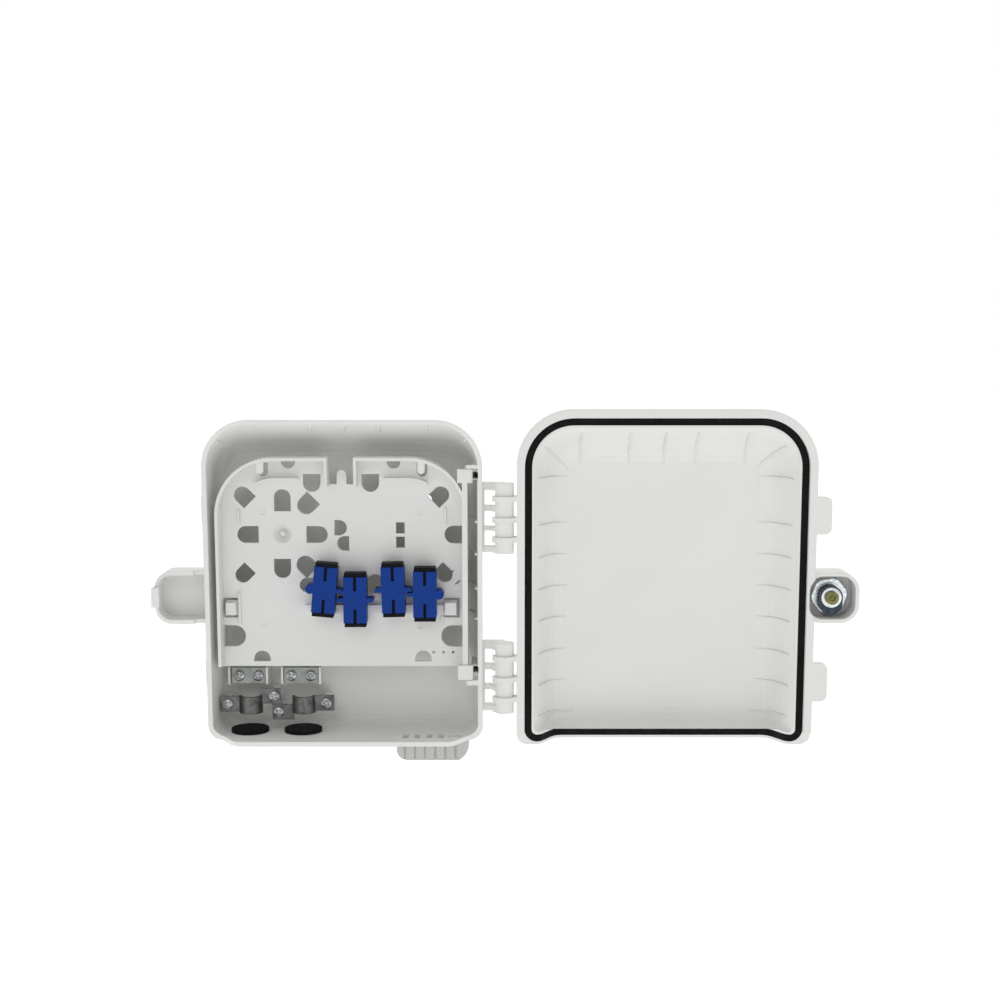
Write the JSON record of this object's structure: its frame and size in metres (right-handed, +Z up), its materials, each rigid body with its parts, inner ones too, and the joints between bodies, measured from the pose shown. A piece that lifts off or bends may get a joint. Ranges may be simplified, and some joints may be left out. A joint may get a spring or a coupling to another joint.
{
  "type": "fiber termination box",
  "caption": "Wall-mounted fiber termination box with a hinged cover on a gasket, a cam lock, a swing-out splice tray, push-pull adapters with dust caps, cable clamps and entry seals",
  "frame": {"origin": "middle of the base's flat back face, at the centre of the four wall screw holes", "axes": "+X to the right towards the hinge, +Y into the wall, +Z up; the cover is swung fully open at rest"},
  "size_m": [0.3878, 0.049, 0.1931],
  "materials": {
    "housing": "fine moulded texture, light warm grey",
    "tray": "smooth moulded, light grey",
    "rack": "smooth moulded, white",
    "port_plastic": "fine moulded texture, light grey",
    "gasket_rubber": "soft black foam rubber",
    "seal_rubber": "black rubber",
    "adapter_blue": "semi-gloss moulded, blue",
    "cap_black": "soft black plastic",
    "sleeve_ceramic": "polished white ceramic",
    "clamp_zinc": "dull zinc-plated strip steel",
    "plate_zinc": "bright zinc-plated steel",
    "screw_steel": "nickel-plated steel",
    "lock_zinc": "plated die-cast zinc",
    "cam_steel": "dark blue-grey plated steel",
    "cam_screw_brass": "yellow passivated steel screw"
  },
  "bodies": {
    "root": {"base_shell": "housing", "cable_clamp_left": "clamp_zinc", "cable_clamp_right": "clamp_zinc", "clamp_screws": "screw_steel", "strength_plate_left": "plate_zinc", "strength_plate_right": "plate_zinc", "strength_plate_screws": "screw_steel", "entry_seal_left": "seal_rubber", "entry_seal_right": "seal_rubber", "drop_port_block": "port_plastic"},
    "cover": {"cover_shell": "housing", "cover_gasket": "gasket_rubber", "lock_barrel": "lock_zinc", "lock_nut": "lock_zinc"},
    "lock": {"lock_plug": "lock_zinc", "lock_cam": "cam_steel", "lock_cam_washer": "lock_zinc", "lock_cam_screw": "cam_screw_brass"},
    "tray": {"splice_tray": "tray", "adapter_rack": "rack", "adapter_1": "adapter_blue", "adapter_2": "adapter_blue", "adapter_3": "adapter_blue", "adapter_4": "adapter_blue", "alignment_sleeve_1": "sleeve_ceramic", "alignment_sleeve_2": "sleeve_ceramic", "alignment_sleeve_3": "sleeve_ceramic", "alignment_sleeve_4": "sleeve_ceramic"},
    "cap_1_upper": {"dust_cap_1_upper": "cap_black"},
    "cap_1_lower": {"dust_cap_1_lower": "cap_black"},
    "cap_2_upper": {"dust_cap_2_upper": "cap_black"},
    "cap_2_lower": {"dust_cap_2_lower": "cap_black"},
    "cap_3_upper": {"dust_cap_3_upper": "cap_black"},
    "cap_3_lower": {"dust_cap_3_lower": "cap_black"},
    "cap_4_upper": {"dust_cap_4_upper": "cap_black"},
    "cap_4_lower": {"dust_cap_4_lower": "cap_black"}
  },
  "joints": [
    {"name": "cover_hinge", "type": "hinge", "parent": "root", "child": "cover", "pos_m": [0.0886, -0.034, 0], "axis": [0, 0, -1], "range_deg": [0, 180]},
    {"name": "lock_turn", "type": "hinge", "parent": "cover", "child": "lock", "pos_m": [0.2696, -0.03, -0.0093], "axis": [0, -1, 0], "range_deg": [0, 90]},
    {"name": "tray_hinge", "type": "hinge", "parent": "root", "child": "tray", "pos_m": [0.0692, -0.033, 0], "axis": [0, 0, -1], "range_deg": [-95, 0]},
    {"name": "cap_1_upper_pull", "type": "slide", "parent": "tray", "child": "cap_1_upper", "axis": [-0.0872, 0, -0.9962], "range_m": [-0.008, 0]},
    {"name": "cap_1_lower_pull", "type": "slide", "parent": "tray", "child": "cap_1_lower", "axis": [0.0872, 0, 0.9962], "range_m": [-0.008, 0]},
    {"name": "cap_2_upper_pull", "type": "slide", "parent": "tray", "child": "cap_2_upper", "axis": [0, 0, -1], "range_m": [-0.008, 0]},
    {"name": "cap_2_lower_pull", "type": "slide", "parent": "tray", "child": "cap_2_lower", "axis": [0, 0, 1], "range_m": [-0.008, 0]},
    {"name": "cap_3_upper_pull", "type": "slide", "parent": "tray", "child": "cap_3_upper", "axis": [0.0262, 0, -0.9997], "range_m": [-0.008, 0]},
    {"name": "cap_3_lower_pull", "type": "slide", "parent": "tray", "child": "cap_3_lower", "axis": [-0.0262, 0, 0.9997], "range_m": [-0.008, 0]},
    {"name": "cap_4_upper_pull", "type": "slide", "parent": "tray", "child": "cap_4_upper", "axis": [0, 0, -1], "range_m": [-0.008, 0]},
    {"name": "cap_4_lower_pull", "type": "slide", "parent": "tray", "child": "cap_4_lower", "axis": [0, 0, 1], "range_m": [-0.008, 0]}
  ]
}
